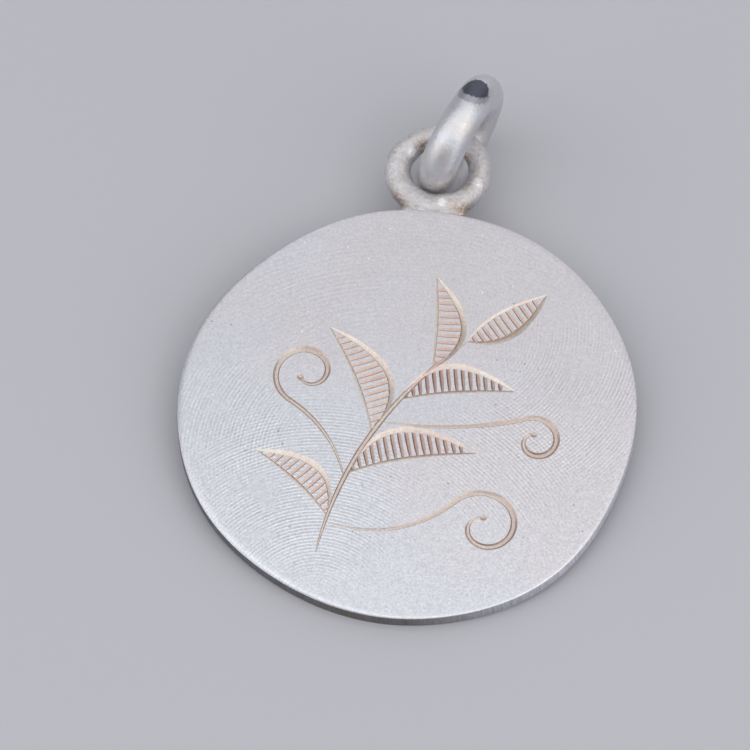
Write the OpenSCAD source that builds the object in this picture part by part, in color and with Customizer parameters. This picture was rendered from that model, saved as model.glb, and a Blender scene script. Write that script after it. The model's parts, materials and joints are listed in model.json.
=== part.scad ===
// Round silver pendant: a hand-cut disc with a wire ring soldered to its edge,
// and a loose wire bail through that ring. It lies face up on a table, with the
// bail standing on edge under the far side of the soldered ring.
// Millimetres. +Y runs from the disc to the bail, +Z is up, and the origin is on
// the table, under the middle of the whole pendant.

/* [Disc] */
// Diameter of the disc
disc_d = 22; // [18:0.1:26]
// Thickness of the disc
disc_t = 0.8; // [0.6:0.05:1.1]
// How far the hand-cut outline wanders from a true circle
outline_wander = 0.105; // [0:0.005:0.2]

/* [Soldered ring] */
// Wire of the soldered ring
ring_wire_d = 1.15; // [0.9:0.05:1.3]
// Play between the near side of the ring and the bail's wire inside it
ring_play = 0.16; // [0.1:0.02:0.8]
// How far the ring's wire is let into the disc's edge
ring_seat = 0.18; // [0.1:0.01:0.3]
// Lump of solder on each side of the joint
solder_d = 0.9; // [0.7:0.05:1]

/* [Bail] */
// Clear way through the bail
bail_hole_d = 2.66; // [2.5:0.02:3.4]
// Wire of the bail
bail_wire_d = 1.98; // [1.6:0.02:2.2]
// Turn of the bail from the pendant's length, to the right
bail_turn = 22.5; // [10:0.5:30]
// Lean of the bail from upright, to the right
bail_lean = 7.5; // [0:0.5:12]
// How much further round the soldered ring than its own turn the bail crosses it
bail_skew = 3.5; // [0:0.5:5]
// How far the bail has slid towards the disc
bail_slide = 0.1; // [0:0.02:0.14]
// Clearance between the soldered ring and the bail that carries it
rest_gap = 0.14; // [0.05:0.01:0.2]

/* [Engraving] */
// Bare margin between the engraved spray and the disc's edge
spray_margin = 2.8; // [2:0.1:5]
// Depth of the engraved lines
cut_depth = 0.12; // [0.05:0.01:0.25]
// Width of the bold cut along one side of a leaf
bold_cut_w = 0.28; // [0.15:0.01:0.4]
// Width of the fine cut along its other side
fine_cut_w = 0.13; // [0.08:0.01:0.2]
// Width of the stem and of the curling tendrils
stem_cut_w = 0.24; // [0.12:0.01:0.35]
// Width of one rung of the shading inside a leaf
rung_w = 0.1; // [0.06:0.01:0.16]
// Spacing of the rungs along a leaf
rung_pitch = 0.34; // [0.25:0.01:0.6]

/* [Hidden] */
$fn = 64;

disc_r = disc_d / 2;
spray_r = disc_r - spray_margin;

// Waves of the outline: how many round the disc, share of the wander, first crest
outline_waves = [
    [3, 1.00, 60],
    [4, 0.38, 22],
    [5, 0.36, 22],
    [7, 0.35, 8],
];
outline_step = 3;
// Angle round the ring, from the disc, of the solder on each side of the joint
solder_spread = 32;

function sum(list, i = 0) = i < len(list) ? list[i] + sum(list, i + 1) : 0;
function outline_r(a) =
    disc_r + outline_wander * sum([for (w = outline_waves) w[1] * cos(w[0] * (a - w[2]))]);
function polar(r, a) = r * [cos(a), sin(a)];
outline = [for (a = [0:outline_step:360 - outline_step]) polar(outline_r(a), a)];

// The bail is a loop in the plane of two directions: along, which is level, and
// rise, which leans.
along = [sin(bail_turn), cos(bail_turn), 0];
level_side = [cos(bail_turn), -sin(bail_turn), 0];
rise = sin(bail_lean) * level_side + cos(bail_lean) * [0, 0, 1];
bail_wire_r = bail_wire_d / 2;
bail_r = bail_hole_d / 2 + bail_wire_r;

// The ring's far side rests in the foot of the bail, at a height of carry over
// the middle of the foot's wire. Its near side clears the bail's wire by the play.
carry = bail_wire_r + ring_wire_d / 2 + rest_gap;
bail_slope = asin((bail_r - carry) / bail_r);
bail_reach = bail_r * cos(bail_slope) + bail_wire_r / cos(bail_slope);
ring_r = (bail_slide + bail_reach + ring_play + ring_wire_d / 2) / 2;

// Centre of the soldered ring, in the disc's own frame
ring_y = outline_r(90) - ring_seat + ring_wire_d / 2 + ring_r;
ring_z = disc_t / 2;

// The foot sets the tilt of the disc, which lies on its near edge.
bail_cross = bail_turn + bail_skew;
cross_x = ring_r * sin(bail_cross);
cross_y = ring_y + ring_r * cos(bail_cross);
cross_height = bail_wire_r + carry * cos(bail_lean);
near_r = max([for (p = outline) -p.y]);
cross_reach = near_r + cross_y;
tilt = asin(cross_height / norm([cross_reach, ring_z])) - atan2(ring_z, cross_reach);

// A point of the disc's frame, as it lies tilted on its near edge
function tilted(p) = [
    p.x,
    p.y * cos(tilt) - p.z * sin(tilt),
    (p.y + near_r) * sin(tilt) + p.z * cos(tilt),
];
cross_point = tilted([cross_x, cross_y, ring_z]);
bail_centre = cross_point + rise * (bail_r - carry) - along * bail_slide;

// The middle of the whole pendant, which becomes the origin. The bail's far end
// is the middle of its wire there, which follows along and rise, and its radius.
mid_x = (max([for (p = outline) p.x]) + min([for (p = outline) p.x])) / 2;
near_y = min([for (p = outline) tilted([p.x, p.y, disc_t]).y]);
far_y = bail_centre.y + bail_r * norm([along.y, rise.y]) + bail_wire_r;
origin_shift = -[mid_x, (near_y + far_y) / 2, 0];

// The engraved spray. Places and lengths are shares of its reach.
stem_root = [-0.43, -0.97];
stem_top = [0.30, 0.49];
stem_bow = 0.09;
// Leaves: place along the stem, side, length, angle from the stem, width, curve
leaves = [
    [0.14, 1, 0.60, 62, 0.25, 0.17],
    [0.32, -1, 0.77, 55, 0.24, 0.17],
    [0.50, 1, 0.75, 52, 0.25, 0.17],
    [0.67, -1, 0.68, 46, 0.25, 0.16],
    [0.84, 1, 0.61, 44, 0.26, 0.15],
    [1.00, 1, 0.56, -4, 0.29, 0.05],
];
// Tendrils: place along the stem, centre of the curl, its first and last radius,
// first angle, sweep, bow of the stalk
tendrils = [
    [0.12, [0.52, -0.70], 0.23, 0.055, 135, -395, -0.15],
    [0.30, [-0.61, 0.19], 0.21, 0.055, -118, -380, -0.10],
    [0.56, [0.76, -0.12], 0.16, 0.045, 125, -375, -0.05],
];
leaf_lean = -0.5;
cut_end_w = 0.05;
swell_power = 0.75;
bud_d = 0.28;
line_steps = 14;
curl_steps = 26;

// A bowed line from a to b: bow is its height over the chord, as a share of it
function bowed(a, b, bow, t, lean = 0) =
    a + (b - a) * t + [a.y - b.y, b.x - a.x] * bow * 4 * t * (1 - t) * (1 + lean * (t - 0.5));
function steps(n) = [for (i = [0:n]) i / n];
function heading(a, b) = atan2(b.y - a.y, b.x - a.x);
function stem_at(t) = bowed(stem_root, stem_top, stem_bow, t);
function stem_heading(t) = heading(stem_at(t - 0.01), stem_at(t + 0.01));

// A groove seen from above: a ribbon along a line, swelling from its ends
function line_normal(line, i) =
    let (a = line[max(i - 1, 0)], b = line[min(i + 1, len(line) - 1)], d = b - a)
    [-d.y, d.x] / norm(d);
function swell(t, width) = (cut_end_w + (width - cut_end_w) * pow(sin(180 * t), swell_power)) / 2;
module ribbon(line, width) {
    last = len(line) - 1;
    polygon(concat(
        [for (i = [0:last]) line[i] + line_normal(line, i) * swell(i / last, width)],
        [for (i = [last:-1:0]) line[i] - line_normal(line, i) * swell(i / last, width)]
    ));
}

module rung(a, b) {
    across = [a.y - b.y, b.x - a.x] / norm(b - a) * rung_w / 2;
    polygon([a + across, b + across, b - across, a - across]);
}

// One leaf: a bold cut, a fine cut and a ladder of rungs between them
module leaf(row) {
    base = stem_at(row[0]) * spray_r;
    tip = base + polar(row[2] * spray_r, stem_heading(row[0]) + row[1] * row[3]);
    bold_bow = -row[1] * (row[5] + row[4] / 2);
    fine_bow = -row[1] * (row[5] - row[4] / 2);
    rungs = floor(norm(tip - base) / rung_pitch);
    ribbon([for (t = steps(line_steps)) bowed(base, tip, bold_bow, t, leaf_lean)], bold_cut_w);
    ribbon([for (t = steps(line_steps)) bowed(base, tip, fine_bow, t, leaf_lean)], fine_cut_w);
    for (i = [1:rungs - 1]) {
        a = bowed(base, tip, bold_bow, i / rungs, leaf_lean);
        b = bowed(base, tip, fine_bow, i / rungs, leaf_lean);
        if (norm(b - a) > bold_cut_w)
            rung(a, b);
    }
}

// One tendril: a bowed stalk that runs into a curl, with a bud in its middle
module tendril(row) {
    base = stem_at(row[0]) * spray_r;
    centre = row[1] * spray_r;
    function curl(t) = centre + polar((row[2] + (row[3] - row[2]) * t) * spray_r, row[4] + row[5] * t);
    stalk = [for (t = steps(line_steps)) bowed(base, curl(0), row[6], t)];
    ribbon(concat(stalk, [for (i = [1:curl_steps]) curl(i / curl_steps)]), stem_cut_w);
    translate(curl(1))
        circle(d = bud_d);
}

module spray() {
    ribbon([for (t = steps(line_steps)) stem_at(t) * spray_r], stem_cut_w);
    for (row = leaves)
        leaf(row);
    for (row = tendrils)
        tendril(row);
}

module soldered_ring() {
    solder_side = (ring_r + ring_wire_d / 2) * sin(solder_spread);
    translate([0, ring_y, ring_z])
        rotate_extrude()
            translate([ring_r, 0])
                circle(d = ring_wire_d);
    for (s = [-1, 1])
        translate([s * solder_side, disc_r, ring_z])
            sphere(d = solder_d);
}

module medal() {
    color("silver")
        translate(origin_shift + tilted([0, 0, 0]))
            rotate([tilt, 0, 0])
                difference() {
                    union() {
                        linear_extrude(disc_t)
                            polygon(outline);
                        soldered_ring();
                    }
                    translate([0, 0, disc_t - cut_depth])
                        linear_extrude(2 * cut_depth)
                            spray();
                }
}

module bail() {
    color("gainsboro")
        translate(origin_shift + bail_centre)
            rotate([0, 90 + bail_lean, -bail_turn])
                rotate_extrude()
                    translate([bail_r, 0])
                        circle(d = bail_wire_d);
}

medal();
bail();
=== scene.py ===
"""Round silver pendant: a hand-sanded, engraved disc with a soldered wire ring and a loose wire bail.

The pendant's pieces are modelled in millimetres, the medal in the disc's own frame and the bail in its
loop's, and are then set in the part's frame, in metres, by the record's mounts.
"""
import json
import math

import bmesh
import bpy
from mathutils import Matrix, Vector, noise


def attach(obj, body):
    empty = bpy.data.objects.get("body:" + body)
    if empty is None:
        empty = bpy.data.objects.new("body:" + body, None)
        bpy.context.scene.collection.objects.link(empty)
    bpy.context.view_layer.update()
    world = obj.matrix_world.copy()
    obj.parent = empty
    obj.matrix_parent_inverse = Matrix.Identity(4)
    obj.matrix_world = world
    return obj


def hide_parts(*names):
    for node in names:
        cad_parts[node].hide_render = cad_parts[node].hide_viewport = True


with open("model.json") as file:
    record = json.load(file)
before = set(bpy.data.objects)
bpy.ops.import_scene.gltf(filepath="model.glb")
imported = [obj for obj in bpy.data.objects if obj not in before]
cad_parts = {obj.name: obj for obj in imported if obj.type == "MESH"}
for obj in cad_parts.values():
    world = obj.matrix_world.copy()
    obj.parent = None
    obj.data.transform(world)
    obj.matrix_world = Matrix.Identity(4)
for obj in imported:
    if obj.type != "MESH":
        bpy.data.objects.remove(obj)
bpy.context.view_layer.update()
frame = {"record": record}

MM = 0.001
noise.seed_set(7)

# The disc, in millimetres
DISC_R = 11.0
DISC_T = 0.8
BACK_BEVEL = 0.07
OUTLINE_WANDER = 0.105
# Waves of the hand-cut outline: how many round the disc, share of the wander, first crest
OUTLINE_WAVES = ((3, 1.00, 60), (4, 0.38, 22), (5, 0.36, 22), (7, 0.35, 8))

# The soldered ring. Solder fills the inside of its left half, and its near side on top and inside.
RING_R = 2.049
RING_Y = 13.451
RING_WIRE_R = 0.575
RING_BENT_IN = 0.17
LEFT_FILL = 0.15
NEAR_FILL = 0.09
# Lumps of solder at the joint: where one is, and its half sizes
SOLDER_LUMPS = (
    ((-1.16, 11.04), (0.40, 0.36, 0.40)),
    ((1.16, 11.20), (0.47, 0.44, 0.44)),
    ((-0.522, 11.0), (0.70, 0.24, 0.38)),
    ((0.522, 11.0), (0.70, 0.24, 0.38)),
)

# The bail. Its wire is thickest at its foot, and the near leg is bent out a little above it.
# Angles are in its loop's plane, from the level direction.
BAIL_R = 2.32
BAIL_WIRE_THICK_R = 0.985
BAIL_WIRE_THIN_R = 0.925
BAIL_THICK_AT = -90
BAIL_BENT_OUT = 0.12
BAIL_BENT_AT = -143

# The engraved spray. Places and lengths are shares of its reach.
SPRAY_R = DISC_R - 2.8
STEM_ROOT = Vector((-0.43, -0.97))
STEM_TOP = Vector((0.30, 0.49))
STEM_BOW = 0.09
# Leaves: place along the stem, side, length, angle from the stem, width, curve
LEAVES = (
    (0.14, 1, 0.60, 62, 0.25, 0.17),
    (0.32, -1, 0.77, 55, 0.24, 0.17),
    (0.50, 1, 0.75, 52, 0.25, 0.17),
    (0.67, -1, 0.68, 46, 0.25, 0.16),
    (0.84, 1, 0.61, 44, 0.26, 0.15),
    (1.00, 1, 0.56, -4, 0.29, 0.05),
)
# Tendrils: place along the stem, centre of the curl, its first and last radius,
# first angle, sweep, bow of the stalk
TENDRILS = (
    (0.12, (0.52, -0.70), 0.23, 0.055, 135, -395, -0.15),
    (0.30, (-0.61, 0.19), 0.21, 0.055, -118, -380, -0.10),
    (0.56, (0.76, -0.12), 0.16, 0.045, 125, -375, -0.05),
)
LEAF_LEAN = -0.5
BOLD_CUT_W = 0.32
FINE_CUT_W = 0.15
STEM_CUT_W = 0.28
TENDRIL_CUT_W = 0.33
RUNG_W = 0.20
RUNG_PITCH = 0.34
RUNG_LEAN = 0.2
# Along a rung: the way from the bold line to the fine one, and the share of its width there
RUNG_SHAPE = ((0.05, 0.8), (0.3, 1.0), (0.7, 0.95), (0.97, 0.6))
BUD_R = 0.208
BUD_DEPTH = 0.10
CUT_END_W = 0.05
SWELL_POWER = 0.75
# Depth of a groove for its width, and how far its bottom lies from its middle
GROOVE_DEPTH = 0.32
GROOVE_LEAN = 0.32
# Depth of a flat-bottomed cut for its width, the flat's share of it, and its lean
FLAT_CUT_DEPTH = 0.25
FLAT_SHARE = 0.46
FLAT_LEAN = 0.08
# How far a cutter stands out of the face
OVER = 0.03


def smooth_step(low, high, value):
    """Rises smoothly from 0 at low to 1 at high, which may be the smaller of the two."""
    t = min(max((value - low) / (high - low), 0.0), 1.0)
    return t * t * (3 - 2 * t)


# Numbers of the medal's finishes, whose materials are made and listed further down
SANDED, BRIGHT_CUT, TARNISHED_CUT, SOLDERED, FILED = range(5)
medal_finishes = []


def dress(piece, finish):
    """Gives a part of the medal all the medal's materials, and one of them to each of its faces."""
    for material in medal_finishes:
        piece.data.materials.append(material)
    piece.data.polygons.foreach_set("material_index", [finish] * len(piece.data.polygons))


def mesh_of(bm, name, finish=None):
    """A new object in the scene from a bmesh, with its faces pointing outwards."""
    bmesh.ops.recalc_face_normals(bm, faces=bm.faces)
    mesh = bpy.data.meshes.new(name)
    bm.to_mesh(mesh)
    bm.free()
    piece = bpy.data.objects.new(name, mesh)
    bpy.context.scene.collection.objects.link(piece)
    if finish is not None:
        dress(piece, finish)
    return piece


def apply_modifiers(piece):
    """Makes what the modifiers show the piece's own mesh."""
    shown = piece.evaluated_get(bpy.context.evaluated_depsgraph_get())
    mesh = bpy.data.meshes.new_from_object(shown)
    piece.modifiers.clear()
    piece.data = mesh


def combine(piece, tool, operation):
    """Cuts the tool from the piece, or joins it on, and takes the tool away."""
    modifier = piece.modifiers.new(operation, "BOOLEAN")
    modifier.operation = operation
    modifier.solver = "MANIFOLD"
    modifier.object = tool
    apply_modifiers(piece)
    bpy.data.objects.remove(tool)


# Places of the two pieces in the part's frame

mounts = {mount["name"]: mount for mount in frame["record"]["mounts"]}
disc_up = -Vector(mounts["back_face"]["axis"])
disc_place = Matrix.Translation(mounts["back_face"]["pos_m"]) @ Matrix(
    (Vector((1, 0, 0)), disc_up.cross(Vector((1, 0, 0))), disc_up)
).transposed().to_4x4()

bail_side = Vector(mounts["chain_way"]["axis"])
bail_along = bail_side.cross(Vector((0, 0, 1))).normalized()
bail_rise = bail_along.cross(bail_side)
bail_place = Matrix.Translation(mounts["chain_way"]["pos_m"]) @ Matrix(
    (bail_along, bail_rise, -bail_side)
).transposed().to_4x4()


def set_in_place(piece, place, shade_angle):
    """Moves a finished mesh from its own millimetres to the part's frame, and shades it smooth."""
    piece.data.transform(place @ Matrix.Scale(MM, 4))
    bm = bmesh.new()
    bm.from_mesh(piece.data)
    for face in bm.faces:
        face.smooth = True
    for edge in bm.edges:
        one_finish = len({face.material_index for face in edge.link_faces}) == 1
        edge.smooth = one_finish and edge.calc_face_angle(0) < math.radians(shade_angle)
    bm.to_mesh(piece.data)
    bm.free()


# The disc


def outline_r(a):
    """Radius of the hand-cut outline at an angle in degrees."""
    waves = sum(share * math.cos(math.radians(n * (a - crest))) for n, share, crest in OUTLINE_WAVES)
    return DISC_R + OUTLINE_WANDER * waves


def rim_roll(a):
    """How wide and how deep the face rolls off at its rim: much at lower left, a wide soft
    rounding at the right, and a crisp arris at lower right."""
    left = max(0.0, math.cos(math.radians(a - 205))) ** 1.5
    right = max(0.0, math.cos(math.radians(a - 15))) ** 3
    near_right = max(0.0, math.cos(math.radians(a - 310))) ** 4
    return (
        0.10 + 0.24 * left + 0.30 * right - 0.03 * near_right,
        0.035 + 0.20 * left + 0.035 * right + 0.03 * near_right,
    )


def disc():
    """The hand-cut disc, with its face rolled off at the rim and its edge filed."""
    bm = bmesh.new()
    bmesh.ops.create_circle(bm, cap_ends=True, segments=360, radius=DISC_R)
    for v in bm.verts:
        a = math.degrees(math.atan2(v.co.y, v.co.x))
        v.co *= outline_r(a) / DISC_R
    made = bmesh.ops.extrude_face_region(bm, geom=bm.faces[:])
    top = [v for v in made["geom"] if isinstance(v, bmesh.types.BMVert)]
    bmesh.ops.translate(bm, verts=top, vec=(0, 0, DISC_T))
    bmesh.ops.recalc_face_normals(bm, faces=bm.faces)
    rims = [e for e in bm.edges if abs(e.verts[0].co.z - e.verts[1].co.z) < 0.01]
    even = 0.1
    bmesh.ops.bevel(
        bm, geom=rims, offset=even, segments=5, profile=0.5, affect="EDGES", material=-1
    )
    # The even bevel is drawn out to the roll-off's own width, and the back's is kept small
    for v in bm.verts:
        a = math.degrees(math.atan2(v.co.y, v.co.x))
        outer = outline_r(a)
        inward = outer - v.co.xy.length
        on_face = v.co.z > DISC_T / 2
        width, drop = rim_roll(a) if on_face else (BACK_BEVEL, BACK_BEVEL)
        v.co.xy *= (outer - inward * width / even) / v.co.xy.length
        if on_face:
            v.co.z = DISC_T - (DISC_T - v.co.z) * drop / even
        else:
            v.co.z *= drop / even
    # A narrow margin round the face and the back keeps the rim's rounding out of their shading
    flats = [f for f in bm.faces if len(f.verts) > 4]
    bmesh.ops.inset_individual(bm, faces=flats, thickness=0.12)
    piece = mesh_of(bm, "engraved_medal", SANDED)
    for face in piece.data.polygons:
        if abs(face.normal.z) < 0.4:
            face.material_index = FILED
    return piece


# The engraved grooves


def bowed(a, b, bow, t, lean=0.0):
    """A point of a bowed line from a to b: bow is its height over the chord, as a share of it."""
    across = Vector((a.y - b.y, b.x - a.x))
    return a + (b - a) * t + across * bow * 4 * t * (1 - t) * (1 + lean * (t - 0.5))


def polar(r, a):
    return Vector((r * math.cos(math.radians(a)), r * math.sin(math.radians(a))))


def stem_at(t):
    return bowed(STEM_ROOT, STEM_TOP, STEM_BOW, t)


def stem_heading(t):
    d = stem_at(t + 0.01) - stem_at(t - 0.01)
    return math.degrees(math.atan2(d.y, d.x))


def swell(t, width):
    """Width of a cut that swells from its ends."""
    return CUT_END_W + (width - CUT_END_W) * math.sin(math.pi * t) ** SWELL_POWER


def groove(bm, line, widths, lean=GROOVE_LEAN, flat=0.0):
    """Adds a wedge that cuts a groove along a line, by drawing its section along it: a triangle, or
    with a flat bottom, as a flat graver leaves it."""
    last = len(line) - 1
    front = None
    for i, (at, width) in enumerate(zip(line, widths)):
        way = (line[min(i + 1, last)] - line[max(i - 1, 0)]).normalized()
        across = Vector((-way.y, way.x))
        # A hand never pushes the graver quite evenly
        width *= 1 + 0.16 * noise.noise(Vector((at.x, at.y, 1.0)) * 1.7)
        depth = width * (FLAT_CUT_DEPTH if flat else GROOVE_DEPTH)
        left, right = lean + flat / 2, lean - flat / 2
        section = [
            (0.5 + (0.5 - left) * OVER / depth, OVER),
            (left, -depth),
            (right, -depth),
            (-0.5 - (0.5 + right) * OVER / depth, OVER),
        ]
        if not flat:
            section.pop(1)
        corners = [Vector((*(at + across * width * x), DISC_T + z)) for x, z in section]
        if front is None:
            front = bm.faces.new([bm.verts.new(c) for c in corners])
        else:
            made = bmesh.ops.extrude_face_region(bm, geom=[front, *front.edges])["geom"]
            front = [f for f in made if isinstance(f, bmesh.types.BMFace)][0]
            for v, c in zip(front.verts, corners):
                v.co = c


def steps(n):
    """Ways along a line from 0 to 1, in n steps."""
    return [i / n for i in range(n + 1)]


def leaf_lines(row):
    """The bold line and the fine line of a leaf, as functions of the way along it, and its length."""
    at, side, length, angle, width, curve = row
    base = stem_at(at) * SPRAY_R
    tip = base + polar(length * SPRAY_R, stem_heading(at) + side * angle)
    bold_bow = -side * (curve + width / 2)
    fine_bow = -side * (curve - width / 2)
    return (
        lambda t: bowed(base, tip, bold_bow, t, LEAF_LEAN),
        lambda t: bowed(base, tip, fine_bow, t, LEAF_LEAN),
        (tip - base).length,
    )


def tendril_line(row):
    """A tendril's bowed stalk and the curl that it runs into."""
    at, centre, r_first, r_last, first, sweep, bow = row
    base = stem_at(at) * SPRAY_R

    def curl(t):
        r = (r_first + (r_last - r_first) * t) * SPRAY_R
        return Vector(centre) * SPRAY_R + polar(r, first + sweep * t)

    stalk = [bowed(base, curl(0), bow, t) for t in steps(16)]
    return stalk + [curl(t) for t in steps(48)[1:]]


def engrave(medal):
    """Cuts the spray in passes whose grooves don't meet, as the cutter needs."""
    bm = bmesh.new()
    line = [stem_at(t) * SPRAY_R for t in steps(24)]
    groove(bm, line, [swell(t, STEM_CUT_W) for t in steps(24)], FLAT_LEAN, FLAT_SHARE)
    combine(medal, mesh_of(bm, "stem_cut", BRIGHT_CUT), "DIFFERENCE")

    for which, width in ((0, BOLD_CUT_W), (1, FINE_CUT_W)):
        bm = bmesh.new()
        for row in LEAVES:
            line = [leaf_lines(row)[which](t) for t in steps(28)]
            lean = GROOVE_LEAN * (-1 if which else 1) * row[1]
            groove(bm, line, [swell(t, width) for t in steps(28)], lean)
        combine(medal, mesh_of(bm, "leaf_cuts", BRIGHT_CUT), "DIFFERENCE")

    bm = bmesh.new()
    for row in TENDRILS:
        line = tendril_line(row)
        widths = [swell(t, TENDRIL_CUT_W) for t in steps(len(line) - 1)]
        groove(bm, line, widths, -FLAT_LEAN, FLAT_SHARE)
    combine(medal, mesh_of(bm, "tendril_cuts", BRIGHT_CUT), "DIFFERENCE")

    bm = bmesh.new()
    middle = DISC_T + (OVER - BUD_DEPTH) / 2
    for row in TENDRILS:
        bmesh.ops.create_cone(
            bm,
            cap_ends=True,
            segments=20,
            radius1=0.02,
            radius2=BUD_R,
            depth=BUD_DEPTH + OVER,
            matrix=Matrix.Translation((*tendril_line(row)[-1], middle)),
        )
    combine(medal, mesh_of(bm, "bud_cuts", BRIGHT_CUT), "DIFFERENCE")

    bm = bmesh.new()
    for row in LEAVES:
        bold, fine, length = leaf_lines(row)
        rungs = math.floor(length / RUNG_PITCH)
        for i in range(1, rungs):
            a, b = bold(i / rungs), fine(i / rungs)
            if (b - a).length > BOLD_CUT_W:
                # No two rungs lie quite alike
                wobble = noise.noise_vector(Vector((a.x, a.y, 0.5)) * 3).xy * 0.04
                line = [a.lerp(b, t) + wobble * t for t, _ in RUNG_SHAPE]
                groove(bm, line, [RUNG_W * share for _, share in RUNG_SHAPE], RUNG_LEAN * row[1])
    combine(medal, mesh_of(bm, "rung_cuts", TARNISHED_CUT), "DIFFERENCE")


# The soldered ring


def wire_loop(bm, loop_r, wire_r, sides, turns):
    """A round wire bent into a loop about Z, in an empty bmesh."""
    made = bmesh.ops.create_circle(
        bm,
        segments=sides,
        radius=wire_r,
        matrix=Matrix.Translation((loop_r, 0, 0)) @ Matrix.Rotation(math.pi / 2, 4, "X"),
    )
    bmesh.ops.spin(
        bm,
        geom=made["verts"] + bm.edges[:],
        cent=(0, 0, 0),
        axis=(0, 0, 1),
        angle=2 * math.pi,
        steps=turns,
        use_merge=True,
    )


def fill_and_bend(v):
    """Moves a vertex of the ring's even wire to where the solder and the bending have left it."""
    # The angle goes round the ring from its right side, and the joint is at -90
    a = math.degrees(math.atan2(v.co.y - RING_Y, v.co.x))
    inward = Vector((0, RING_Y, DISC_T / 2)) - v.co
    inside = smooth_step(RING_R + 0.3, RING_R - 0.4, inward.length)
    left = smooth_step(110 if a > 0 else 95, 160, abs(a))
    v.co += inward.normalized() * LEFT_FILL * inside * left
    v.co.y -= RING_BENT_IN * smooth_step(78, 115, a) * smooth_step(185, 140, a)
    # The near side is thickest in the direction that goes 0.84 inwards and 0.54 up
    inward = Vector((0, RING_Y)) - v.co.xy
    out = 0.84 * (RING_R - inward.length) + 0.54 * (v.co.z - DISC_T / 2)
    filled = smooth_step(0.5, 1.0, out / RING_WIRE_R)
    near = smooth_step(62, 20, abs(a + 90))
    v.co += Vector((*inward.normalized(), 0.64)) * NEAR_FILL * filled * near


def soldered_ring():
    """The ring's wire and the lumps of solder at its joint, melted together."""
    bm = bmesh.new()
    wire_loop(bm, RING_R, RING_WIRE_R, 32, 96)
    bmesh.ops.translate(bm, verts=bm.verts, vec=(0, RING_Y, DISC_T / 2))
    for v in bm.verts:
        fill_and_bend(v)
    for at, size in SOLDER_LUMPS:
        place = Matrix.Translation((*at, DISC_T / 2)) @ Matrix.Diagonal((*size, 1))
        bmesh.ops.create_icosphere(bm, subdivisions=3, radius=1, matrix=place)
    # The wire and the lumps flow into one skin
    ring = mesh_of(bm, "ring")
    remesh = ring.modifiers.new("flow", "REMESH")
    remesh.mode = "VOXEL"
    remesh.voxel_size = 0.045
    apply_modifiers(ring)
    bm = bmesh.new()
    bm.from_mesh(ring.data)
    for _ in range(4):
        bmesh.ops.smooth_vert(
            bm, verts=bm.verts, factor=0.5, use_axis_x=True, use_axis_y=True, use_axis_z=True
        )
    bm.normal_update()
    # The solder melted unevenly, into slow lumps and small pores
    for v in bm.verts:
        lump = noise.noise(v.co * 1.6)
        pore = noise.noise(v.co * 5.0 + Vector((9, 4, 2)))
        v.co += v.normal * (0.030 * lump + 0.018 * pore)
    bm.to_mesh(ring.data)
    bm.free()
    dress(ring, SOLDERED)
    return ring


# The bail


def bail():
    """The loose loop of worn wire, in its place."""
    bm = bmesh.new()
    wire_loop(bm, BAIL_R, 1.0, 48, 144)
    for v in bm.verts:
        a = math.atan2(v.co.y, v.co.x)
        middle = Vector((math.cos(a), math.sin(a), 0)) * BAIL_R
        thick = 0.5 + 0.5 * math.cos(a - math.radians(BAIL_THICK_AT))
        wire_r = BAIL_WIRE_THIN_R + (BAIL_WIRE_THICK_R - BAIL_WIRE_THIN_R) * thick
        # Wear takes away more than it leaves standing
        wear = 0.010 * noise.noise(v.co * 0.9 + Vector((3, 1, 5)))
        v.co = middle + (v.co - middle) * (wire_r + min(wear, 0.004))
        # The bend reaches 38 degrees to each side
        bend = smooth_step(0.79, 1.0, math.cos(a - math.radians(BAIL_BENT_AT)))
        v.co += middle / BAIL_R * BAIL_BENT_OUT * bend
    piece = mesh_of(bm, "bail_wire")
    set_in_place(piece, bail_place, 60)
    return piece


# Materials. The scale of a noise is one over the size of its features, in millimetres.


def linear(code):
    """A linear colour from an sRGB hex value."""
    parts = [int(code[i:i + 2], 16) / 255 for i in (1, 3, 5)]
    return [c / 12.92 if c <= 0.04045 else ((c + 0.055) / 1.055) ** 2.4 for c in parts] + [1]


def node(tree, kind, inputs=None, **settings):
    """Adds a node with its settings, and gives its inputs a value or another node's output."""
    made = tree.nodes.new("ShaderNode" + kind)
    for name, value in settings.items():
        setattr(made, name, value)
    for name, value in (inputs or {}).items():
        if isinstance(value, bpy.types.Node):
            value = value.outputs[0]
        if isinstance(value, bpy.types.NodeSocket):
            tree.links.new(value, made.inputs[name])
        else:
            made.inputs[name].default_value = value
    return made


def new_material(name):
    material = bpy.data.materials.new(name)
    material.use_nodes = True
    material.node_tree.nodes.clear()
    return material, material.node_tree


def own_millimetres(tree, place):
    """Object coordinates turned back to a piece's own frame, in millimetres."""
    return node(
        tree,
        "Mapping",
        {
            "Vector": node(tree, "TexCoord").outputs["Object"],
            "Location": place.to_translation(),
            "Rotation": place.to_euler(),
            "Scale": (MM, MM, MM),
        },
        vector_type="TEXTURE",
    )


# Arcs that the sanding left: their centre, the patch's centre and reach, pitch, strength
SANDING = (
    ((-3.2, -10.8), (-4.6, -4.6), 6.8, 0.172, 0.85),
    ((-2.0, -2.7), (-8.6, -1.4), 4.2, 0.180, 0.75),
    ((1.5, 4.7), (8.4, 1.2), 5.8, 0.172, 0.65),
    ((-4.8, -13.7), (4.8, -2.2), 5.0, 0.176, 0.60),
    ((0.0, -3.0), (2.0, 8.8), 6.5, 0.220, 0.10),
    ((14.0, 5.0), (4.4, 4.6), 3.4, 0.180, 0.25),
    ((-0.5, -5.0), (-5.0, 5.6), 5.2, 0.240, 0.20),
)


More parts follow.
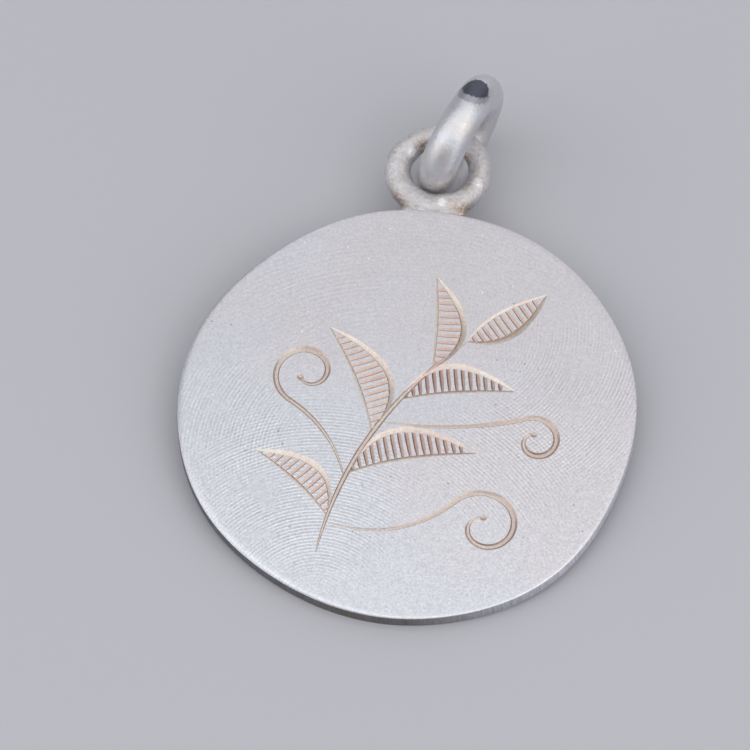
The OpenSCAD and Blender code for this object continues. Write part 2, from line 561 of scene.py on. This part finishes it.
def sanding_marks(tree, at):
    """Faint arcs about the places where the paper turned. One scratch is under a hundredth of a
    millimetre wide. What shows are their bundles, five or six to the millimetre."""
    marks = 0.0
    for (cx, cy), (px, py), reach, pitch, strength in SANDING:
        centred = node(
            tree,
            "Mapping",
            {"Vector": at, "Location": (cx, cy, 0), "Rotation": (0, 0, math.atan2(py - cy, px - cx))},
            vector_type="TEXTURE",
        )
        part = node(tree, "SeparateXYZ", {"Vector": centred})
        radius = node(tree, "VectorMath", {0: centred}, operation="LENGTH").outputs["Value"]
        angle = node(tree, "Math", {0: part.outputs["Y"], 1: part.outputs["X"]}, operation="ARCTAN2")
        # A streak is as wide as half the pitch, and a few millimetres long. The reach, in Z, only
        # sets the streaks of one patch apart from another's.
        along = node(
            tree,
            "CombineXYZ",
            {
                "X": node(tree, "Math", {0: radius, 1: 1.8 / pitch}, operation="MULTIPLY"),
                "Y": node(tree, "Math", {0: angle, 1: 1.3}, operation="MULTIPLY"),
                "Z": reach,
            },
        )
        streaks = node(tree, "TexNoise", {"Vector": along, "Scale": 1.0, "Detail": 2, "Roughness": 0.6})
        uneven = node(
            tree,
            "MapRange",
            {"Value": streaks, "From Min": 0.32, "From Max": 0.68, "To Min": -0.60, "To Max": -0.10},
        )
        # The rings of a wave of scale 1 are 0.314 apart
        rings = node(
            tree,
            "TexWave",
            {"Vector": centred, "Scale": 0.314 / pitch, "Distortion": 0.5, "Detail": 1.5},
            wave_type="RINGS",
            rings_direction="Z",
        )
        crisp = node(tree, "MapRange", {"Value": rings.outputs["Fac"], "From Min": 0.30, "From Max": 0.95})
        arcs = node(tree, "Math", {0: crisp, 1: 0.90, 2: uneven}, operation="MULTIPLY_ADD")
        # The arcs fade out with the patch, and break up in spots 1.4 mm across
        far = node(tree, "VectorMath", {0: at, 1: (px, py, DISC_T)}, operation="DISTANCE")
        patch = node(
            tree,
            "MapRange",
            {"Value": far.outputs["Value"], "From Min": reach, "From Max": reach * 0.3, "To Max": strength},
            interpolation_type="SMOOTHSTEP",
        )
        breaks = node(tree, "TexNoise", {"Vector": centred, "Scale": 1 / 1.4, "Detail": 3})
        shown = node(
            tree,
            "MapRange",
            {"Value": breaks, "From Min": 0.26, "From Max": 0.52, "To Max": patch},
            interpolation_type="SMOOTHSTEP",
        )
        marks = node(tree, "Math", {0: arcs, 1: shown, 2: marks}, operation="MULTIPLY_ADD")
    return marks


def sanded_silver():
    """Sterling silver sheet, sanded by hand with fine paper: a bright, soft grey face with faint
    arcs where the paper turned, fine grain, a few pits, and a slow drift from cool to rosy."""
    material, tree = new_material("hand_sanded_silver")
    at = own_millimetres(tree, disc_place)
    marks = sanding_marks(tree, at)
    # The grain is 0.02 mm fine, drawn 0.1 mm coarse so that it shows
    grain = node(tree, "TexNoise", {"Vector": at, "Scale": 1 / 0.105, "Detail": 3, "Roughness": 0.7})
    part = node(tree, "SeparateXYZ", {"Vector": at})
    # The tint drifts over 6 mm, and is rosier at the right and the far side
    drift = node(tree, "TexNoise", {"Vector": at, "Scale": 1 / 6.2, "Detail": 2})
    drift = node(tree, "Math", {0: part.outputs["X"], 1: 0.02, 2: drift}, operation="MULTIPLY_ADD")
    drift = node(tree, "Math", {0: part.outputs["Y"], 1: 0.02, 2: drift}, operation="MULTIPLY_ADD")
    tint = node(
        tree,
        "Mix",
        {
            0: node(tree, "MapRange", {"Value": drift, "From Min": 0.35, "From Max": 0.65}),
            6: linear("#dcdde2"),
            7: linear("#dedadd"),
        },
        data_type="RGBA",
    )
    shade = node(tree, "Math", {0: marks, 1: 0.28, 2: 1.0}, operation="MULTIPLY_ADD")
    grained = node(
        tree,
        "MapRange",
        {"Value": grain, "From Min": 0.3, "From Max": 0.7, "To Min": -1.0, "To Max": 0.7},
    )
    # The grain is stronger towards the near side
    strength = node(
        tree,
        "MapRange",
        {"Value": part.outputs["Y"], "From Min": -6, "From Max": 6, "To Min": 0.21, "To Max": 0.13},
    )
    grained = node(tree, "Math", {0: grained, 1: strength, 2: 1.0}, operation="MULTIPLY_ADD")
    shade = node(tree, "Math", {0: shade, 1: grained}, operation="MULTIPLY")
    # The face is painted lighter towards the near side: a painted highlight
    last = node(
        tree,
        "MapRange",
        {"Value": part.outputs["Y"], "From Min": -10, "From Max": 3, "To Min": 1.09, "To Max": 0.99},
    )
    shade = node(tree, "Math", {0: shade, 1: last}, operation="MULTIPLY")
    # Specks a twentieth of a millimetre across and 0.6 mm apart, from dark pits to bright nicks; the bright
    # ones are partly painted glints
    cells = node(tree, "TexVoronoi", {"Vector": at, "Scale": 1 / 0.62})
    tone = node(
        tree,
        "MapRange",
        {
            "Value": cells.outputs["Color"],
            "From Min": 0.25,
            "From Max": 0.75,
            "To Min": -0.45,
            "To Max": 0.35,
        },
    )
    speck = node(
        tree, "MapRange", {"Value": cells.outputs["Distance"], "From Min": 0.10, "From Max": 0.05}
    )
    shade = node(tree, "Math", {0: speck, 1: tone, 2: shade}, operation="MULTIPLY_ADD")
    colour = node(
        tree, "Mix", {0: 1.0, 6: tint.outputs[2], 7: shade}, data_type="RGBA", blend_type="MULTIPLY"
    )
    rough = node(
        tree,
        "MapRange",
        {"Value": grain, "From Min": 0.3, "From Max": 0.7, "To Min": 0.36, "To Max": 0.46},
    )
    # The sheet isn't quite flat: it swells over 4.5 mm
    swells = node(tree, "TexNoise", {"Vector": at, "Scale": 1 / 4.5, "Detail": 1})
    bent = node(tree, "Bump", {"Height": swells, "Distance": 0.05 * MM, "Strength": 1.0})
    lined = node(
        tree, "Bump", {"Height": marks, "Distance": 0.006 * MM, "Strength": 1.0, "Normal": bent}
    )
    rough_face = node(
        tree, "Bump", {"Height": grain, "Distance": 0.008 * MM, "Strength": 1.0, "Normal": lined}
    )
    shader = node(
        tree,
        "BsdfPrincipled",
        {"Base Color": colour.outputs[2], "Metallic": 1.0, "Roughness": rough, "Normal": rough_face},
    )
    node(tree, "OutputMaterial", {"Surface": shader})
    return material


def cut_silver(name, broad, tan, steep_tone):
    """Grooves cut with a polished graver: broad, shallow walls in two pale tones, tan ones in the
    depth, and rosy brown on the steep walls, where tarnish has stayed."""
    material, tree = new_material(name)
    at = own_millimetres(tree, disc_place)
    facing = node(
        tree,
        "VectorMath",
        {0: node(tree, "NewGeometry").outputs["Normal"], 1: disc_up},
        operation="DOT_PRODUCT",
    ).outputs["Value"]
    steep = node(tree, "MapRange", {"Value": facing, "From Min": 0.93, "From Max": 0.70})
    height = node(tree, "SeparateXYZ", {"Vector": at}).outputs["Z"]
    deep = node(
        tree,
        "MapRange",
        {"Value": height, "From Min": DISC_T - 0.02, "From Max": DISC_T - 0.10, "To Max": 0.45},
    )
    # The two tones change over 2.4 mm
    patches = node(tree, "TexNoise", {"Vector": at, "Scale": 1 / 2.4, "Detail": 3})
    kept = node(tree, "MapRange", {"Value": patches, "From Min": 0.36, "From Max": 0.64})
    pale = node(
        tree, "Mix", {0: kept, 6: linear(broad[0]), 7: linear(broad[1])}, data_type="RGBA"
    ).outputs[2]
    dull = node(
        tree, "Mix", {0: kept, 6: linear(tan[0]), 7: linear(tan[1])}, data_type="RGBA"
    ).outputs[2]
    walls = node(tree, "Mix", {0: deep, 6: pale, 7: dull}, data_type="RGBA").outputs[2]
    walls = node(
        tree, "Mix", {0: steep, 6: walls, 7: linear(steep_tone)}, data_type="RGBA"
    ).outputs[2]
    # Tarnish and the graver's chatter, a few hundredths of a millimetre fine, drawn 0.12 mm coarse
    chatter = node(tree, "TexNoise", {"Vector": at, "Scale": 1 / 0.12, "Detail": 4, "Roughness": 0.7})
    speckled = node(
        tree,
        "MapRange",
        {"Value": chatter, "From Min": 0.32, "From Max": 0.68, "To Min": 0.82, "To Max": 1.10},
    )
    colour = node(
        tree, "Mix", {0: 1.0, 6: walls, 7: speckled}, data_type="RGBA", blend_type="MULTIPLY"
    )
    cut = node(tree, "Bump", {"Height": chatter, "Distance": 0.014 * MM, "Strength": 1.0})
    shader = node(
        tree,
        "BsdfPrincipled",
        {"Base Color": colour.outputs[2], "Metallic": 0.85, "Roughness": 0.36, "Normal": cut},
    )
    node(tree, "OutputMaterial", {"Surface": shader})
    return material


def filed_silver():
    """The disc's sawn and filed edge, with fine file strokes across it that darken and lighten it:
    painted dark grey on the left and near side as painted shade, and painted light on the right as a
    painted highlight."""
    material, tree = new_material("filed_edge_silver")
    at = own_millimetres(tree, disc_place)
    # A file stroke is 0.11 mm wide and as long as the edge is thick
    across = node(tree, "Mapping", {"Vector": at, "Scale": (1 / 0.11, 1 / 0.11, 1 / DISC_T)})
    strokes = node(tree, "TexNoise", {"Vector": across, "Scale": 1.0, "Detail": 3, "Roughness": 0.6})
    # The painted shade's grey changes between cool and warm over 2 mm
    slow = node(tree, "TexNoise", {"Vector": at, "Scale": 1 / 2.0, "Detail": 2})
    painted_shade_mix = node(tree, "MapRange", {"Value": slow, "From Min": 0.35, "From Max": 0.65})
    tone = node(
        tree, "Mix", {0: painted_shade_mix, 6: linear("#858488"), 7: linear("#867e77")}, data_type="RGBA"
    ).outputs[2]
    # The right side is painted much lighter: a painted highlight
    right = node(
        tree,
        "MapRange",
        {
            "Value": node(tree, "SeparateXYZ", {"Vector": at}).outputs["X"],
            "From Min": 1,
            "From Max": 8,
        },
    )
    tone = node(tree, "Mix", {0: right, 6: tone, 7: linear("#eff0f5")}, data_type="RGBA")
    streaks = node(
        tree,
        "MapRange",
        {"Value": strokes, "From Min": 0.3, "From Max": 0.7, "To Min": 0.75, "To Max": 1.15},
    )
    colour = node(
        tree, "Mix", {0: 1.0, 6: tone.outputs[2], 7: streaks}, data_type="RGBA", blend_type="MULTIPLY"
    )
    filed = node(tree, "Bump", {"Height": strokes, "Distance": 0.02 * MM, "Strength": 1.0})
    shader = node(
        tree,
        "BsdfPrincipled",
        {"Base Color": colour.outputs[2], "Metallic": 1.0, "Roughness": 0.42, "Normal": filed},
    )
    node(tree, "OutputMaterial", {"Surface": shader})
    return material


# Stains on the solder: where one is, how far it reaches, and its tone
STAINS = (
    ((1.42, 11.2, 0.6), 0.9, "#c8b09c"),
    ((-1.75, 11.5, 0.4), 0.85, "#c29d90"),
    # This darkest one, in the crease inside the top left, is partly a painted shade
    ((-0.72, 14.5, 0.7), 0.62, "#957a66"),
    ((1.4, 14.1, 0.6), 0.5, "#b09a88"),
)
# Spots of it that have melted smooth, each also lightened as a painted glint
SMOOTH_SPOTS_AND_GLINTS = ((-1.36, 14.1, 0.8), (2.04, 12.75, 0.8), (0.4, 11.5, 0.9))


def soldered_silver():
    """Silver wire flooded with hard solder and pickled: creamy and grainy, bright on its grains, tan in
    places and partly painted shade in the crease at the top left, with a rusty fire stain at one side,
    painted darker towards the joint as shade, and lightened at three spots as painted glints."""
    material, tree = new_material("soldered_silver")
    at = own_millimetres(tree, disc_place)
    # The pickled grain is 0.14 mm across, and the solder's tone changes over 0.7 mm
    grain = node(tree, "TexNoise", {"Vector": at, "Scale": 1 / 0.14, "Detail": 5, "Roughness": 0.7})
    clouds = node(tree, "TexNoise", {"Vector": at, "Scale": 1 / 0.7, "Detail": 3})
    colour = node(
        tree,
        "Mix",
        {
            0: node(tree, "MapRange", {"Value": clouds, "From Min": 0.35, "From Max": 0.68}),
            6: linear("#e4e2e5"),
            7: linear("#ddd7d2"),
        },
        data_type="RGBA",
    ).outputs[2]
    for place, reach, tone in STAINS:
        far = node(tree, "VectorMath", {0: at, 1: place}, operation="DISTANCE").outputs["Value"]
        near = node(
            tree,
            "MapRange",
            {"Value": far, "From Min": reach, "From Max": reach * 0.3},
            interpolation_type="SMOOTHSTEP",
        )
        patchy = node(
            tree, "MapRange", {"Value": grain, "From Min": 0.62, "From Max": 0.42, "To Max": near}
        )
        colour = node(
            tree, "Mix", {0: patchy, 6: colour, 7: linear(tone)}, data_type="RGBA"
        ).outputs[2]
    speckle = node(
        tree,
        "MapRange",
        {"Value": grain, "From Min": 0.35, "From Max": 0.65, "To Min": 0.88, "To Max": 1.07},
    )
    # The solder is painted darker towards the joint: a painted shade
    painted_shade_to_joint = node(
        tree,
        "MapRange",
        {
            "Value": node(tree, "SeparateXYZ", {"Vector": at}).outputs["Y"],
            "From Min": 13.2,
            "From Max": 11.6,
            "To Min": 1.0,
            "To Max": 0.86,
        },
    )
    speckle = node(tree, "Math", {0: speckle, 1: painted_shade_to_joint}, operation="MULTIPLY")
    colour = node(
        tree, "Mix", {0: 1.0, 6: colour, 7: speckle}, data_type="RGBA", blend_type="MULTIPLY"
    ).outputs[2]
    rough = node(
        tree,
        "MapRange",
        {"Value": grain, "From Min": 0.35, "From Max": 0.65, "To Min": 0.36, "To Max": 0.58},
    )
    # Where the solder ran, 0.4 mm at a time, it is smoother
    ran = node(tree, "TexNoise", {"Vector": at, "Scale": 1 / 0.4, "Detail": 2})
    ran = node(tree, "MapRange", {"Value": ran, "From Min": 0.62, "From Max": 0.70, "To Max": -0.25})
    rough = node(tree, "Math", {0: rough, 1: ran}, operation="ADD")
    for place in SMOOTH_SPOTS_AND_GLINTS:
        far = node(tree, "VectorMath", {0: at, 1: place}, operation="DISTANCE").outputs["Value"]
        bright = node(tree, "MapRange", {"Value": far, "From Min": 0.32, "From Max": 0.12, "To Max": 0.9})
        rough = node(tree, "Math", {0: bright, 1: -0.42, 2: rough}, operation="MULTIPLY_ADD")
        # A painted glint: the spot's colour is lightened as well as its roughness lowered
        colour = node(
            tree, "Mix", {0: bright, 6: colour, 7: linear("#f6f4f2")}, data_type="RGBA"
        ).outputs[2]
    pores = node(tree, "Bump", {"Height": grain, "Distance": 0.045 * MM, "Strength": 1.0})
    shader = node(
        tree,
        "BsdfPrincipled",
        {"Base Color": colour, "Metallic": 1.0, "Roughness": rough, "Normal": pores},
    )
    node(tree, "OutputMaterial", {"Surface": shader})
    return material


def worn_wire_silver():
    """Polished silver wire, worn by a chain: a soft sheen with faint dents and pits, a trace of
    warm tarnish, and on the crown a dark painted reflection inside a grey painted rim."""
    material, tree = new_material("worn_polished_silver")
    at = own_millimetres(tree, bail_place)
    # The wire's tone changes and its dents come over 1.1 mm
    slow = node(tree, "TexNoise", {"Vector": at, "Scale": 1 / 1.1, "Detail": 3})
    tint = node(
        tree,
        "Mix",
        {
            0: node(tree, "MapRange", {"Value": slow, "From Min": 0.35, "From Max": 0.7}),
            6: linear("#dfe0e6"),
            7: linear("#dad6d3"),
        },
        data_type="RGBA",
    ).outputs[2]
    # On the crown, one spot with ragged edges is a painted reflection: a grey rim, and over most
    # of it a blue-black painted reflection of dark surroundings
    ragged = node(tree, "TexNoise", {"Vector": at, "Scale": 1 / 0.15, "Detail": 4, "Roughness": 0.8})
    for place, reach, tone in (
        ((0.75, 3.08, -0.12), 0.60, "#b6b7be"),
        ((0.98, 3.02, -0.14), 0.46, "#60626d"),
    ):
        far = node(tree, "VectorMath", {0: at, 1: place}, operation="DISTANCE").outputs["Value"]
        edge = node(tree, "Math", {0: ragged, 1: -0.5, 2: far}, operation="MULTIPLY_ADD")
        painted_reflection_spot = node(tree, "MapRange", {"Value": edge, "From Min": reach, "From Max": reach - 0.05})
        tint = node(tree, "Mix", {0: painted_reflection_spot, 6: tint, 7: linear(tone)}, data_type="RGBA").outputs[2]
    # Pits some twentieths of a millimetre across, 0.45 mm apart
    cells = node(tree, "TexVoronoi", {"Vector": at, "Scale": 1 / 0.45})
    pitted = node(tree, "MapRange", {"Value": cells.outputs["Color"], "From Min": 0.45, "From Max": 0.8})
    pit = node(
        tree,
        "MapRange",
        {
            "Value": cells.outputs["Distance"],
            "From Min": 0.16,
            "From Max": 0.08,
            "To Max": pitted,
        },
    )
    tint = node(tree, "Mix", {0: pit, 6: tint, 7: linear("#a09c9c")}, data_type="RGBA").outputs[2]
    # Scuffs a few hundredths of a millimetre fine, drawn 0.13 mm coarse
    fine = node(tree, "TexNoise", {"Vector": at, "Scale": 1 / 0.13, "Detail": 4})
    scuffed = node(
        tree,
        "MapRange",
        {"Value": fine, "From Min": 0.3, "From Max": 0.7, "To Min": 0.34, "To Max": 0.50},
    )
    dents = node(tree, "Bump", {"Height": slow, "Distance": 0.03 * MM, "Strength": 1.0})
    worn = node(
        tree, "Bump", {"Height": fine, "Distance": 0.016 * MM, "Strength": 1.0, "Normal": dents}
    )
    shader = node(
        tree,
        "BsdfPrincipled",
        {"Base Color": tint, "Metallic": 1.0, "Roughness": scuffed, "Normal": worn},
    )
    node(tree, "OutputMaterial", {"Surface": shader})
    return material


def matt_paint(name, code):
    """Flat matt paint for the floor."""
    material, tree = new_material(name)
    shader = node(tree, "BsdfPrincipled", {"Base Color": linear(code), "Roughness": 0.9})
    node(tree, "OutputMaterial", {"Surface": shader})
    return material


# The medal is the disc, its engraving and the soldered ring, as one piece

medal_finishes += [
    sanded_silver(),
    cut_silver("bright_cut_silver", ("#ebe3d8", "#dfcec4"), ("#d3c4b6", "#cfb9b0"), "#b5a299"),
    cut_silver("tarnished_cut_silver", ("#d2c0b5", "#ccb1a7"), ("#bba496", "#b6978c"), "#a58679"),
    soldered_silver(),
    filed_silver(),
]
medal = disc()
engrave(medal)
combine(medal, soldered_ring(), "UNION")
set_in_place(medal, disc_place, 24)
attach(medal, "root")
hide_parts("medal")

loose_bail = bail()
loose_bail.data.materials.append(worn_wire_silver())
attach(loose_bail, "root")
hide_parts("bail")

# Floor, light and camera

bm = bmesh.new()
bmesh.ops.create_grid(bm, x_segments=1, y_segments=1, size=0.6)
floor = mesh_of(bm, "floor")
floor.data.materials.append(matt_paint("pale_floor_paint", "#bdbdc2"))


def soft_box(name, at, aim, size, power):
    """A large square lamp for soft light, turned to a point of the pendant."""
    lamp = bpy.data.lights.new(name, "AREA")
    lamp.shape = "SQUARE"
    lamp.size = size
    lamp.energy = power
    box = bpy.data.objects.new(name, lamp)
    box.location = at
    box.rotation_euler = (Vector(at) - Vector(aim)).to_track_quat("Z", "Y").to_euler()
    bpy.context.scene.collection.objects.link(box)


soft_box("soft_tent", (0.04, -0.19, 0.42), (0.04, -0.19, 0), 0.74, 1.32)
soft_box("soft_box_right", (0.34, -0.18, 0.20), (0, 0, 0), 0.45, 0.50)
soft_box("soft_box_left", (-0.36, -0.10, 0.17), (0, 0, 0), 0.42, 0.44)
soft_box("soft_box_back", (0.10, 0.42, 0.24), (0, 0, 0), 0.50, 0.36)

world = bpy.data.worlds.new("studio")
bpy.context.scene.world = world
world.use_nodes = True
backdrop = world.node_tree.nodes["Background"].inputs
backdrop["Color"].default_value = linear("#e6e8ee")
backdrop["Strength"].default_value = 0.48

# The camera was fitted to the outlines of the disc and the ring in the photo
CAMERA_ELEVATION = 57.51
CAMERA_AZIMUTH = 6.46
CAMERA_AWAY = 0.300
CAMERA_LENS = 297.8
aim = Vector((-1.81, -0.886, 0.255)) * MM
tilt = math.radians(CAMERA_ELEVATION)
turn = math.radians(CAMERA_AZIMUTH)
back = Vector((math.sin(turn) * math.cos(tilt), -math.cos(turn) * math.cos(tilt), math.sin(tilt)))
lens = bpy.data.cameras.new("camera")
lens.sensor_width = 36
lens.lens = CAMERA_LENS
lens.clip_start = 0.01
camera = bpy.data.objects.new("camera", lens)
camera.location = aim + back * CAMERA_AWAY
camera.rotation_euler = back.to_track_quat("Z", "Y").to_euler()
bpy.context.scene.collection.objects.link(camera)
bpy.context.scene.camera = camera
bpy.context.scene.view_settings.view_transform = "Standard"
